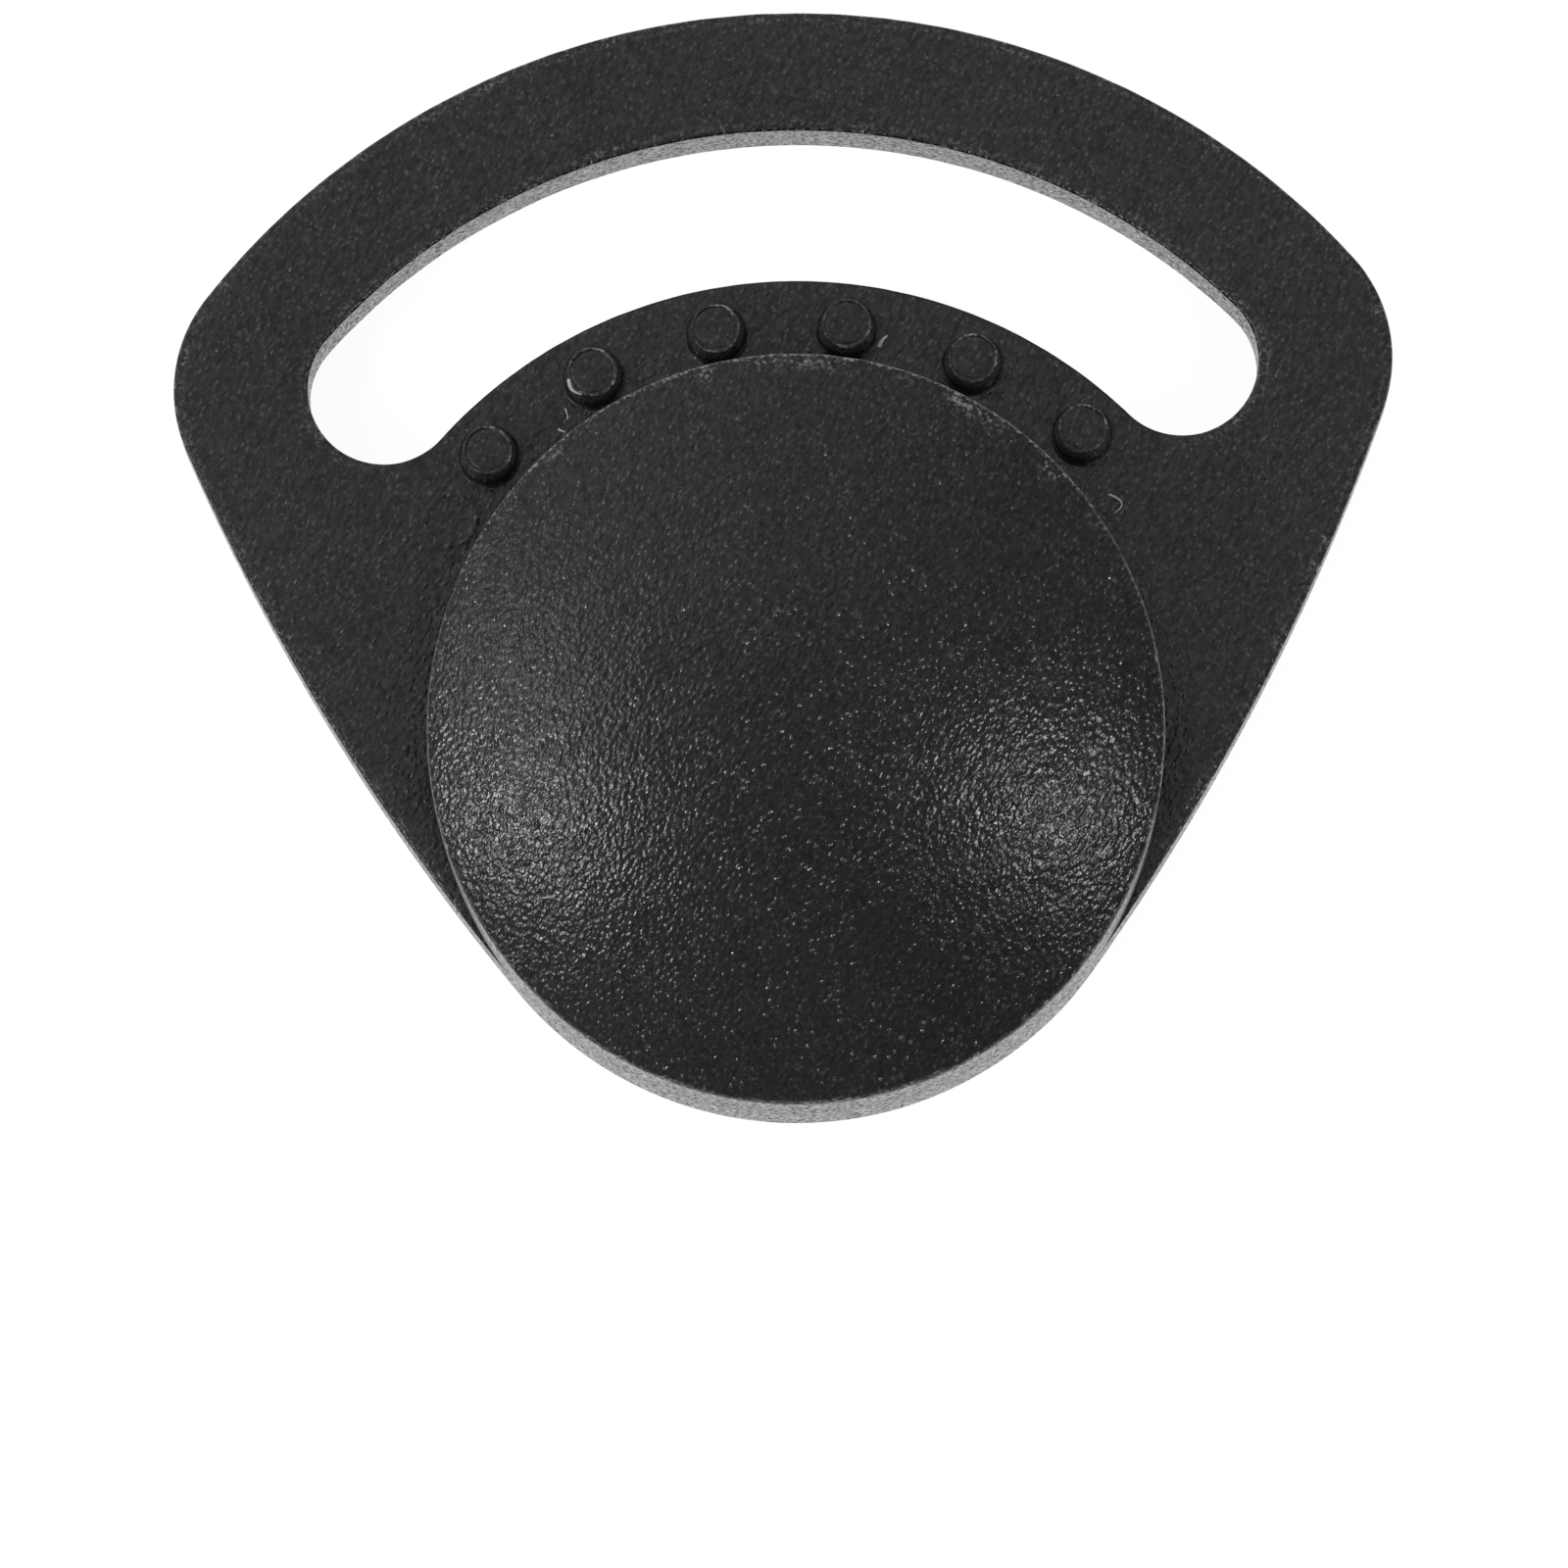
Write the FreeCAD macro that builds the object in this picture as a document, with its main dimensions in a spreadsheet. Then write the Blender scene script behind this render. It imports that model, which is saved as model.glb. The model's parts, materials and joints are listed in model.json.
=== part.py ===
import FreeCAD, Part
import math
import os
import Sketcher

# Moulded strap buckle with a tilted hook cap.
#
# Frame: the origin is on the axis of the round eye, at the underside of the plate.
# +Z rises from the underside towards the cap, +Y points to the strap slot, -Y to the tip.
# Lengths are millimetres and angles are degrees.
#
# The buckle is one moulding. It is divided here at its own boundaries: the two halves of
# the plate meet at the parting line, the collar stands on the plate, the domed cap closes
# the collar, and six pegs stand on the land between the eye and the slot.

DIMENSIONS = [
    ("overall_width", 60.0, "across the shoulders"),
    ("arch_radius", 36.8, "outer edge of the strap bar, about the eye axis"),
    ("shoulder_radius", 7.45, "round corners beside the slot"),
    ("flank_radius", 113.0, "long bowed edges from the shoulders to the tip"),
    ("button_radius", 17.9, "shared by the cap, the collar and the tip of the plate"),
    ("plate_thickness", 4.9, "underside to top face"),
    ("parting_height", 1.45, "parting line above the underside"),
    ("parting_step", 0.06, "how far the lower half stands back at the parting line"),
    ("bottom_edge_round", 0.4, "rounding of the plate's bottom edges"),
    ("slot_inner_radius", 23.4, "strap slot, edge nearer the eye"),
    ("slot_width", 7.5, "strap slot, measured along the radius"),
    ("slot_half_angle", 46.35, "from +Y to the centre of each round slot end"),
    ("eye_radius", 17.1, "round side of the eye"),
    ("crease_drop", 2.97, "axis down to where the eye turns from round to flat"),
    ("end_wall_drop", 10.1, "axis down to the flat end wall of the eye"),
    ("end_wall_half_width", 12.1, "half of the end wall"),
    ("cap_height", 12.75, "rim of the cap above the underside, on the axis"),
    ("cap_tilt", 11.0, "the cap rises towards the slot"),
    ("cap_thickness", 2.05, "upright thickness of the cap, the same from rim to centre"),
    ("cap_crown", 3.4, "rise of the domed cap above its rim"),
    ("cap_edge_round", 0.2, "rounding of the cap's top edge"),
    ("peg_circle_radius", 21.05, "circle through the pegs"),
    ("peg_pitch", 17.55, "angle from one peg to the next"),
    ("peg_height", 2.0, "pegs above the plate"),
    ("peg_base_radius", 1.38, "peg at the plate"),
    ("peg_top_radius", 1.2, "peg at its top"),
    ("peg_chamfer", 0.12, "bevel round the peg's top"),
    ("mark_radius", 1.55, "round ejector marks in the underside"),
    ("mark_depth", 0.06, "depth of the ejector marks"),
    ("bar_mark_angle", 49.0, "marks on the strap bar, from +X"),
    ("land_mark_angle", 47.6, "marks between the eye and the slot, from +X"),
    ("tip_mark_offset", 5.5, "marks at the tip, from the centre line"),
    ("dimple_offset", 19.1, "dimples beside the slot ends, from the centre line"),
    ("dimple_rise", 12.65, "dimples above the axis, along +Y"),
    ("dimple_radius", 0.75, "round dimples beside the slot ends"),
    ("dimple_depth", 0.3, "depth of the dimples"),
]

PEGS = [
    "peg_outer_right",
    "peg_middle_right",
    "peg_inner_right",
    "peg_inner_left",
    "peg_middle_left",
    "peg_outer_left",
]

SIZE = {alias: value for alias, value, note in DIMENSIONS}

# Point numbers and reserved geometry numbers in a sketch.
START = 1
END = 2
CENTRE = 3
ORIGIN = (-1, 1)

UP = FreeCAD.Vector(0, 0, 1)
CLOSE = 1e-4


def make_sheet(doc):
    """Put the driving dimensions in a spreadsheet, each under its alias."""
    sheet = doc.addObject("Spreadsheet::Sheet", "Size")
    for row, (alias, value, note) in enumerate(DIMENSIONS, start=1):
        sheet.set(f"A{row}", alias)
        sheet.set(f"B{row}", str(value))
        sheet.set(f"C{row}", note)
        sheet.setAlias(f"B{row}", alias)
    doc.recompute()


# Sketch helpers


def vector(x, y):
    return FreeCAD.Vector(x, y, 0)


def polar(radius, angle):
    return vector(radius * math.cos(angle), radius * math.sin(angle))


def angle_of(point, centre):
    return math.atan2(point.y - centre.y, point.x - centre.x)


def arc_between(centre, radius, first, last):
    """Arc that runs counter-clockwise about centre from one point to another."""
    begin = angle_of(first, centre)
    finish = angle_of(last, centre)
    if finish < begin:
        finish += 2 * math.pi
    return Part.ArcOfCircle(Part.Circle(centre, UP, radius), begin, finish)


def new_sketch(body, name, plane, height="0"):
    """Sketch on one of the body's own origin planes, raised along its normal."""
    sketch = body.newObject("Sketcher::SketchObject", name)
    support = [item for item in body.Origin.OriginFeatures if item.Role == plane][0]
    sketch.AttachmentSupport = [(support, "")]
    sketch.MapMode = "FlatFace"
    sketch.setExpression("AttachmentOffset.Base.z", height)
    return sketch


def rule(sketch, kind, *parts, formula=None):
    """Add one constraint, and bind it to the sheet when a formula is given."""
    index = sketch.addConstraint(Sketcher.Constraint(kind, *parts))
    if formula:
        sketch.setExpression(f"Constraints[{index}]", formula)


def close_loop(sketch, count, kind):
    """Join each of the first count edges to the next one, end to start."""
    for edge in range(count):
        rule(sketch, kind, edge, END, (edge + 1) % count, START)


# Outlines


def outline_points(inset):
    """Centres and joints of the plate's right half, with the whole outline moved inwards."""
    arch = SIZE["arch_radius"] - inset
    shoulder = SIZE["shoulder_radius"] - inset
    flank = SIZE["flank_radius"] - inset
    tip = SIZE["button_radius"] - inset
    shoulder_x = SIZE["overall_width"] / 2 - SIZE["shoulder_radius"]
    shoulder_y = math.sqrt((arch - shoulder) ** 2 - shoulder_x ** 2)
    shoulder_centre = vector(shoulder_x, shoulder_y)
    # The flank's centre is at known distances from the eye axis and the shoulder's centre.
    from_axis = flank - tip
    from_shoulder = flank - shoulder
    reach = shoulder_centre.Length
    along = (from_axis ** 2 - from_shoulder ** 2 + reach ** 2) / (2 * reach)
    across = math.sqrt(from_axis ** 2 - along ** 2)
    unit = shoulder_centre / reach
    flank_centre = unit * along + vector(-unit.y, unit.x) * across
    return {
        "arch": arch,
        "shoulder": shoulder,
        "flank": flank,
        "tip": tip,
        "shoulder_centre": shoulder_centre,
        "flank_centre": flank_centre,
        "arch_end": unit * arch,
        "shoulder_end": flank_centre
        + (shoulder_centre - flank_centre).normalize() * flank,
        "tip_end": flank_centre * (-tip / from_axis),
    }


def mirrored(point):
    return vector(-point.x, point.y)


def draw_outline(body, name, height, inset="0", inset_value=0.0):
    """Six tangent arcs: arch, two shoulders, two flanks and the tip."""
    p = outline_points(inset_value)
    axis = vector(0, 0)
    sketch = new_sketch(body, name, "XY_Plane", height)
    arch_left = mirrored(p["arch_end"])
    shoulder_left = mirrored(p["shoulder_end"])
    tip_left = mirrored(p["tip_end"])
    arcs = [
        (axis, p["arch"], p["arch_end"], arch_left),
        (mirrored(p["shoulder_centre"]), p["shoulder"], arch_left, shoulder_left),
        (mirrored(p["flank_centre"]), p["flank"], shoulder_left, tip_left),
        (axis, p["tip"], tip_left, p["tip_end"]),
        (p["flank_centre"], p["flank"], p["tip_end"], p["shoulder_end"]),
        (p["shoulder_centre"], p["shoulder"], p["shoulder_end"], p["arch_end"]),
    ]
    for arc in arcs:
        sketch.addGeometry(arc_between(*arc))
    arch, left_shoulder, left_flank, tip, right_flank, right_shoulder = range(len(arcs))
    close_loop(sketch, len(arcs), "Tangent")
    rule(sketch, "Coincident", arch, CENTRE, *ORIGIN)
    rule(sketch, "Coincident", tip, CENTRE, *ORIGIN)
    rule(sketch, "Radius", arch, p["arch"], formula=f"Size.arch_radius - {inset}")
    rule(sketch, "Radius", tip, p["tip"], formula=f"Size.button_radius - {inset}")
    shoulder_formula = f"Size.shoulder_radius - {inset}"
    rule(sketch, "Radius", right_shoulder, p["shoulder"], formula=shoulder_formula)
    rule(sketch, "Radius", right_flank, p["flank"], formula=f"Size.flank_radius - {inset}")
    rule(sketch, "Equal", left_shoulder, right_shoulder)
    rule(sketch, "Equal", left_flank, right_flank)
    offset = p["shoulder_centre"].x
    half = "Size.overall_width / 2 - Size.shoulder_radius"
    rule(sketch, "DistanceX", *ORIGIN, right_shoulder, CENTRE, offset, formula=half)
    rule(sketch, "DistanceX", left_shoulder, CENTRE, *ORIGIN, offset, formula=half)
    return sketch


def draw_slot(body, name, height, grow="0", grow_value=0.0):
    """Curved strap slot: two arcs about the eye axis, closed by two round ends."""
    inner = SIZE["slot_inner_radius"] - grow_value
    outer = SIZE["slot_inner_radius"] + SIZE["slot_width"] + grow_value
    end_radius = (outer - inner) / 2
    lean = math.radians(SIZE["slot_half_angle"])
    right = math.pi / 2 - lean
    left = math.pi / 2 + lean
    axis = vector(0, 0)
    middle = inner + end_radius
    sketch = new_sketch(body, name, "XY_Plane", height)
    sketch.addGeometry(arc_between(axis, outer, polar(outer, right), polar(outer, left)))
    sketch.addGeometry(
        arc_between(polar(middle, left), end_radius, polar(outer, left), polar(inner, left))
    )
    sketch.addGeometry(arc_between(axis, inner, polar(inner, right), polar(inner, left)))
    sketch.addGeometry(
        arc_between(polar(middle, right), end_radius, polar(inner, right), polar(outer, right))
    )
    far, left_end, near, right_end = range(4)
    rule(sketch, "Tangent", far, END, left_end, START)
    rule(sketch, "Tangent", left_end, END, near, END)
    rule(sketch, "Tangent", near, START, right_end, START)
    rule(sketch, "Tangent", right_end, END, far, START)
    rule(sketch, "Coincident", far, CENTRE, *ORIGIN)
    rule(sketch, "Coincident", near, CENTRE, *ORIGIN)
    outer_formula = f"Size.slot_inner_radius + Size.slot_width + {grow}"
    rule(sketch, "Radius", far, outer, formula=outer_formula)
    rule(sketch, "Radius", near, inner, formula=f"Size.slot_inner_radius - {grow}")
    reach = middle * math.sin(lean)
    side = "(Size.slot_inner_radius + Size.slot_width / 2) * sin(Size.slot_half_angle)"
    rule(sketch, "DistanceX", *ORIGIN, right_end, CENTRE, reach, formula=side)
    rule(sketch, "DistanceX", left_end, CENTRE, *ORIGIN, reach, formula=side)
    return sketch


def eye_corners():
    """Crease and corner of the eye on the right side."""
    drop = SIZE["crease_drop"]
    crease = vector(math.sqrt(SIZE["eye_radius"] ** 2 - drop ** 2), -drop)
    corner = vector(SIZE["end_wall_half_width"], -SIZE["end_wall_drop"])
    return crease, corner


def add_flat_walls(sketch, first):
    """Two straight facets and the end wall, from the left crease to the right crease."""
    crease, corner = eye_corners()
    sketch.addGeometry(Part.LineSegment(mirrored(crease), mirrored(corner)))
    sketch.addGeometry(Part.LineSegment(mirrored(corner), corner))
    sketch.addGeometry(Part.LineSegment(corner, crease))
    left_facet, end_wall, right_facet = range(first, first + 3)
    rule(sketch, "Coincident", left_facet, END, end_wall, START)
    rule(sketch, "Coincident", end_wall, END, right_facet, START)
    rule(sketch, "Horizontal", end_wall)
    half = "Size.end_wall_half_width"
    rule(sketch, "DistanceX", *ORIGIN, end_wall, END, corner.x, formula=half)
    rule(sketch, "DistanceX", end_wall, START, *ORIGIN, corner.x, formula=half)
    drop = "Size.end_wall_drop"
    rule(sketch, "DistanceY", end_wall, END, *ORIGIN, -corner.y, formula=drop)
    return left_facet, right_facet


def draw_eye(body, name, height="0"):
    """Eye through the plate: round towards the slot, flat-sided towards the tip."""
    crease, corner = eye_corners()
    sketch = new_sketch(body, name, "XY_Plane", height)
    axis = vector(0, 0)
    sketch.addGeometry(arc_between(axis, SIZE["eye_radius"], crease, mirrored(crease)))
    round_side = 0
    left_facet, right_facet = add_flat_walls(sketch, first=1)
    rule(sketch, "Coincident", round_side, END, left_facet, START)
    rule(sketch, "Coincident", right_facet, END, round_side, START)
    rule(sketch, "Coincident", round_side, CENTRE, *ORIGIN)
    rule(sketch, "Radius", round_side, SIZE["eye_radius"], formula="Size.eye_radius")
    drop = SIZE["crease_drop"]
    for point in (START, END):
        rule(sketch, "DistanceY", round_side, point, *ORIGIN, drop, formula="Size.crease_drop")
    return sketch


def draw_collar(body, name, height):
    """Collar: round outside, flat walls of the eye inside, straight ends at the creases."""
    crease, corner = eye_corners()
    drop = SIZE["crease_drop"]
    radius = SIZE["button_radius"]
    outside = vector(math.sqrt(radius ** 2 - drop ** 2), -drop)
    sketch = new_sketch(body, name, "XY_Plane", height)
    sketch.addGeometry(arc_between(vector(0, 0), radius, mirrored(outside), outside))
    sketch.addGeometry(Part.LineSegment(mirrored(outside), mirrored(crease)))
    sketch.addGeometry(Part.LineSegment(crease, outside))
    back, left_end, right_end = range(3)
    left_facet, right_facet = add_flat_walls(sketch, first=3)
    rule(sketch, "Coincident", back, START, left_end, START)
    rule(sketch, "Coincident", left_end, END, left_facet, START)
    rule(sketch, "Coincident", right_facet, END, right_end, START)
    rule(sketch, "Coincident", right_end, END, back, END)
    rule(sketch, "Coincident", back, CENTRE, *ORIGIN)
    rule(sketch, "Radius", back, radius, formula="Size.button_radius")
    rule(sketch, "Horizontal", left_end)
    rule(sketch, "Horizontal", right_end)
    rule(sketch, "DistanceY", back, END, *ORIGIN, drop, formula="Size.crease_drop")
    rule(sketch, "DistanceY", back, START, *ORIGIN, drop, formula="Size.crease_drop")
    side = "sqrt(Size.eye_radius ^ 2 - Size.crease_drop ^ 2)"
    rule(sketch, "DistanceX", *ORIGIN, right_end, START, crease.x, formula=side)
    rule(sketch, "DistanceX", left_end, END, *ORIGIN, crease.x, formula=side)
    return sketch


# Feature helpers


def pad(body, sketch, name, length):
    feature = body.newObject("PartDesign::Pad", name)
    feature.Profile = sketch
    feature.setExpression("Length", length)
    return feature


def pocket_through(body, sketch, name):
    """Cut the sketch right through the body, both ways from its plane."""
    feature = body.newObject("PartDesign::Pocket", name)
    feature.Profile = sketch
    feature.Type = "ThroughAll"
    feature.Midplane = True
    return feature


def lies_at(edge, level):
    box = edge.BoundBox
    return abs(box.ZMin - level) < CLOSE and abs(box.ZMax - level) < CLOSE


def outside_the_eye(edge):
    """True for an edge of the outline or the slot, false for an edge of the eye."""
    middle = edge.valueAt((edge.FirstParameter + edge.LastParameter) / 2)
    return math.hypot(middle.x, middle.y) > SIZE["eye_radius"] + CLOSE


def round_underside(doc, body, base, name):
    """Round the edges of the outline and the slot at the underside."""
    doc.recompute()
    feature = body.newObject("PartDesign::Fillet", name)
    chosen = [
        f"Edge{number}"
        for number, edge in enumerate(base.Shape.Edges, start=1)
        if lies_at(edge, 0) and outside_the_eye(edge)
    ]
    feature.Base = (base, chosen)
    feature.setExpression("Radius", "Size.bottom_edge_round")


def new_body(doc, label):
    body = doc.addObject("PartDesign::Body", label)
    body.Label = label
    return body


# Sub-parts


def make_plate_upper(doc):
    """Plate above the parting line, with the slot and the eye through it."""
    body = new_body(doc, "plate_upper")
    outline = draw_outline(body, "upper_outline", "Size.parting_height")
    pad(body, outline, "upper_slab", "Size.plate_thickness - Size.parting_height")
    slot = draw_slot(body, "upper_slot_outline", "Size.parting_height")
    pocket_through(body, slot, "upper_slot")
    eye = draw_eye(body, "upper_eye_outline", "Size.parting_height")
    pocket_through(body, eye, "upper_eye")
    return body


def draw_marks(body, name, places, radius):
    """Circles on the underside, one for each (x, y, x formula, y formula)."""
    sketch = new_sketch(body, name, "XY_Plane")
    for index, (x, y, x_formula, y_formula) in enumerate(places):
        sketch.addGeometry(Part.Circle(vector(x, y), UP, SIZE[radius]))
        rule(sketch, "Radius", index, SIZE[radius], formula=f"Size.{radius}")
        if x > 0:
            rule(sketch, "DistanceX", *ORIGIN, index, CENTRE, x, formula=x_formula)
        else:
            rule(sketch, "DistanceX", index, CENTRE, *ORIGIN, -x, formula=x_formula)
        if y > 0:
            rule(sketch, "DistanceY", *ORIGIN, index, CENTRE, y, formula=y_formula)
        else:
            rule(sketch, "DistanceY", index, CENTRE, *ORIGIN, -y, formula=y_formula)
    return sketch


def both_sides(x, y, x_formula, y_formula):
    return [(side * x, y, x_formula, y_formula) for side in (1, -1)]


def mark_places():
    """Ejector marks: on the strap bar, on the land beside the eye, and at the tip."""
    bar_radius = (SIZE["slot_inner_radius"] + SIZE["slot_width"] + SIZE["arch_radius"]) / 2
    bar = "(Size.slot_inner_radius + Size.slot_width + Size.arch_radius) / 2"
    land_radius = (SIZE["slot_inner_radius"] + SIZE["eye_radius"]) / 2
    land = "(Size.slot_inner_radius + Size.eye_radius) / 2"
    places = []
    for radius, formula, alias in (
        (bar_radius, bar, "bar_mark_angle"),
        (land_radius, land, "land_mark_angle"),
    ):
        spot = polar(radius, math.radians(SIZE[alias]))
        across = f"{formula} * cos(Size.{alias})"
        along = f"{formula} * sin(Size.{alias})"
        places += both_sides(spot.x, spot.y, across, along)
    drop = (SIZE["end_wall_drop"] + SIZE["button_radius"]) / 2
    tip = "(Size.end_wall_drop + Size.button_radius) / 2"
    places += both_sides(SIZE["tip_mark_offset"], -drop, "Size.tip_mark_offset", tip)
    return places


def dimple_places():
    return both_sides(
        SIZE["dimple_offset"], SIZE["dimple_rise"], "Size.dimple_offset", "Size.dimple_rise"
    )


def pocket_up(body, sketch, name, depth):
    """Cut up into the underside from the sketch on it."""
    feature = body.newObject("PartDesign::Pocket", name)
    feature.Profile = sketch
    feature.setExpression("Length", depth)
    feature.Reversed = True
    return feature


def make_plate_lower(doc):
    """Plate below the parting line, a hair smaller, with marks in its underside."""
    step = "Size.parting_step"
    step_value = SIZE["parting_step"]
    body = new_body(doc, "plate_lower")
    outline = draw_outline(body, "lower_outline", "0", step, step_value)
    pad(body, outline, "lower_slab", "Size.parting_height")
    slot = draw_slot(body, "lower_slot_outline", "0", step, step_value)
    pocket_through(body, slot, "lower_slot")
    cut = pocket_through(body, draw_eye(body, "lower_eye_outline"), "lower_eye")
    round_underside(doc, body, cut, "lower_round")
    marks = draw_marks(body, "mark_outlines", mark_places(), "mark_radius")
    pocket_up(body, marks, "ejector_marks", "Size.mark_depth")
    dimples = draw_marks(body, "dimple_outlines", dimple_places(), "dimple_radius")
    pocket_up(body, dimples, "dimples", "Size.dimple_depth")
    return body


def make_collar(doc, under_cap):
    """Part-round wall that stands on the plate and fills the space up to the cap."""
    body = doc.addObject("PartDesign::Body", "collar_block")
    profile = draw_collar(body, "collar_outline", "Size.plate_thickness")
    pad(body, profile, "collar_pad", "Size.cap_height - Size.plate_thickness")
    collar = doc.addObject("Part::MultiCommon", "collar_wall")
    collar.Shapes = [body, under_cap]
    return collar


def place(item, formulas):
    """Bind an object's placement to the sheet."""
    for path, formula in formulas.items():
        item.setExpression(path, formula)


def make_ball(doc, name, drop):
    """Ball whose surface is the cap's dome, lowered by a formula.

    The dome's rim is where its sloping plane cuts the upright side of the cap. The ball
    lies on its side, so that its poles and its seam are clear of the cap.
    """
    lean = "Size.cap_tilt"
    reach = f"(Size.button_radius / cos({lean}))"
    radius = f"({reach} ^ 2 + Size.cap_crown ^ 2) / (2 * Size.cap_crown)"
    depth = f"({radius} - Size.cap_crown)"
    ball = doc.addObject("Part::Sphere", name)
    ball.Placement.Rotation = FreeCAD.Rotation(FreeCAD.Vector(1, 0, 0), 90)
    ball.setExpression("Radius", radius)
    place(
        ball,
        {
            "Placement.Base.y": f"{depth} * sin({lean})",
            "Placement.Base.z": f"Size.cap_height - {depth} * cos({lean}) - {drop}",
        },
    )
    return ball


def top_rim(shape):
    """Numbers of the edges where the dome meets the side of the cap."""
    domes = [face for face in shape.Faces if isinstance(face.Surface, Part.Sphere)]
    top = max(domes, key=lambda face: face.CenterOfMass.z)
    return [
        number
        for number, edge in enumerate(shape.Edges, start=1)
        if any(edge.isSame(rim) and not rim.isSeam(top) for rim in top.Edges)
    ]


def make_cap(doc, under_cap):
    """Round cap: an upright disc, domed above and hollow below, both on the tilt."""
    column = doc.addObject("Part::Cylinder", "cap_column")
    column.setExpression("Radius", "Size.button_radius")
    column.setExpression("Height", "Size.cap_height * 2")
    domed = doc.addObject("Part::MultiCommon", "cap_domed")
    domed.Shapes = [column, make_ball(doc, "cap_dome", "0")]
    sharp = doc.addObject("Part::Cut", "cap_sharp")
    sharp.Base = domed
    sharp.Tool = under_cap
    doc.recompute()
    cap = doc.addObject("Part::Fillet", "hook_cap")
    cap.Base = sharp
    radius = SIZE["cap_edge_round"]
    cap.Edges = [(number, radius, radius) for number in top_rim(sharp.Shape)]
    return cap


def make_peg(doc, label, position):
    """Short tapered peg with a bevelled top, standing on the plate."""
    body = new_body(doc, label)
    sketch = new_sketch(body, f"{label}_profile", "XZ_Plane")
    base = SIZE["peg_base_radius"]
    top = SIZE["peg_top_radius"]
    height = SIZE["peg_height"]
    bevel = SIZE["peg_chamfer"]
    corners = [
        vector(0, 0),
        vector(base, 0),
        vector(top, height - bevel),
        vector(top - bevel, height),
        vector(0, height),
    ]
    for index, corner in enumerate(corners):
        sketch.addGeometry(Part.LineSegment(corner, corners[(index + 1) % len(corners)]))
    close_loop(sketch, len(corners), "Coincident")
    floor, flank, edge, lid, middle = range(5)
    rule(sketch, "Coincident", floor, START, *ORIGIN)
    rule(sketch, "Horizontal", floor)
    rule(sketch, "Horizontal", lid)
    rule(sketch, "Vertical", middle)
    rule(sketch, "DistanceX", floor, base, formula="Size.peg_base_radius")
    rule(sketch, "DistanceX", *ORIGIN, edge, START, top, formula="Size.peg_top_radius")
    rule(sketch, "DistanceX", edge, END, edge, START, bevel, formula="Size.peg_chamfer")
    rule(sketch, "DistanceY", edge, START, edge, END, bevel, formula="Size.peg_chamfer")
    rule(sketch, "DistanceY", *ORIGIN, lid, END, height, formula="Size.peg_height")
    peg = body.newObject("PartDesign::Revolution", f"{label}_turned")
    peg.Profile = sketch
    peg.ReferenceAxis = (sketch, ["V_Axis"])
    peg.Angle = 360
    turn = f"(90 + Size.peg_pitch * {position})"
    place(
        body,
        {
            "Placement.Base.x": f"Size.peg_circle_radius * cos({turn})",
            "Placement.Base.y": f"Size.peg_circle_radius * sin({turn})",
            "Placement.Base.z": "Size.plate_thickness",
        },
    )
    return body


def make_pegs(doc):
    """Six pegs on one circle, spaced evenly either side of the centre line."""
    middle = (len(PEGS) - 1) / 2
    return [make_peg(doc, label, index - middle) for index, label in enumerate(PEGS)]


def check(doc, parts):
    """Stop if any object failed or any sub-part is not one sound solid."""
    for item in doc.Objects:
        if "Invalid" in item.State or "Error" in item.State:
            raise RuntimeError(f"{item.Name} did not build: {item.State}")
    for part in parts:
        shape = part.Shape
        if shape.isNull() or not shape.isValid() or len(shape.Solids) != 1:
            raise RuntimeError(f"{part.Label} is not one sound solid")


def main():
    doc = FreeCAD.newDocument("strap_buckle")
    make_sheet(doc)
    under_cap = make_ball(doc, "under_cap", "Size.cap_thickness")
    parts = [
        make_plate_upper(doc),
        make_plate_lower(doc),
        make_collar(doc, under_cap),
        make_cap(doc, under_cap),
    ]
    parts += make_pegs(doc)
    doc.recompute()
    check(doc, parts)
    os.makedirs("parts", exist_ok=True)
    for part in parts:
        part.Shape.exportStep(f"parts/{part.Label}.step")


main()
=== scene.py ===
import json
import math

import bpy
import numpy as np
from mathutils import Euler, Matrix, Vector, geometry, noise


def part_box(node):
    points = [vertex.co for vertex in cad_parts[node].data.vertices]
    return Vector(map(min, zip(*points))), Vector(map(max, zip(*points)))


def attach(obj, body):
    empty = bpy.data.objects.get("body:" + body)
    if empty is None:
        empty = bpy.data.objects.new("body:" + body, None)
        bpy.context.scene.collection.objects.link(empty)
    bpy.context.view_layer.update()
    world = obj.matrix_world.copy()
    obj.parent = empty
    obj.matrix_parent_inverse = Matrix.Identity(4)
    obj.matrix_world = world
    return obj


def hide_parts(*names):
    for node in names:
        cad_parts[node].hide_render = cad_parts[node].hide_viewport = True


# Moulded strap buckle in matte black plastic, with a tilted domed cap over a round eye.
# Shapes are worked out in millimetres, in the row frame, and become metres in add_piece().
# The origin is on the eye's axis at the underside, +Y points to the slot, -Y to the tip.

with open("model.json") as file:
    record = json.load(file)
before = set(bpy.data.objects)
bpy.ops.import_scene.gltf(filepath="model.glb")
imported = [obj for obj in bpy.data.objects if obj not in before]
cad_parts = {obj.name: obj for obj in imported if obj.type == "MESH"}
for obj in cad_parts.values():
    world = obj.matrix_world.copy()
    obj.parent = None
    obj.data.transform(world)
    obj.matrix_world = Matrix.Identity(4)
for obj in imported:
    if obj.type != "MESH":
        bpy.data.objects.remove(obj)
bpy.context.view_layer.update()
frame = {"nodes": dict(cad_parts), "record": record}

MM = 0.001
BODY = "root"
RIGHT_ANGLE = math.pi / 2
FULL_TURN = 2 * math.pi
AXIS = np.zeros(2)


def box_mm(node):
    """Lowest and highest corners of a CAD node."""
    low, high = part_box(node)
    return low / MM, high / MM


# Sizes from the frame

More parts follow.
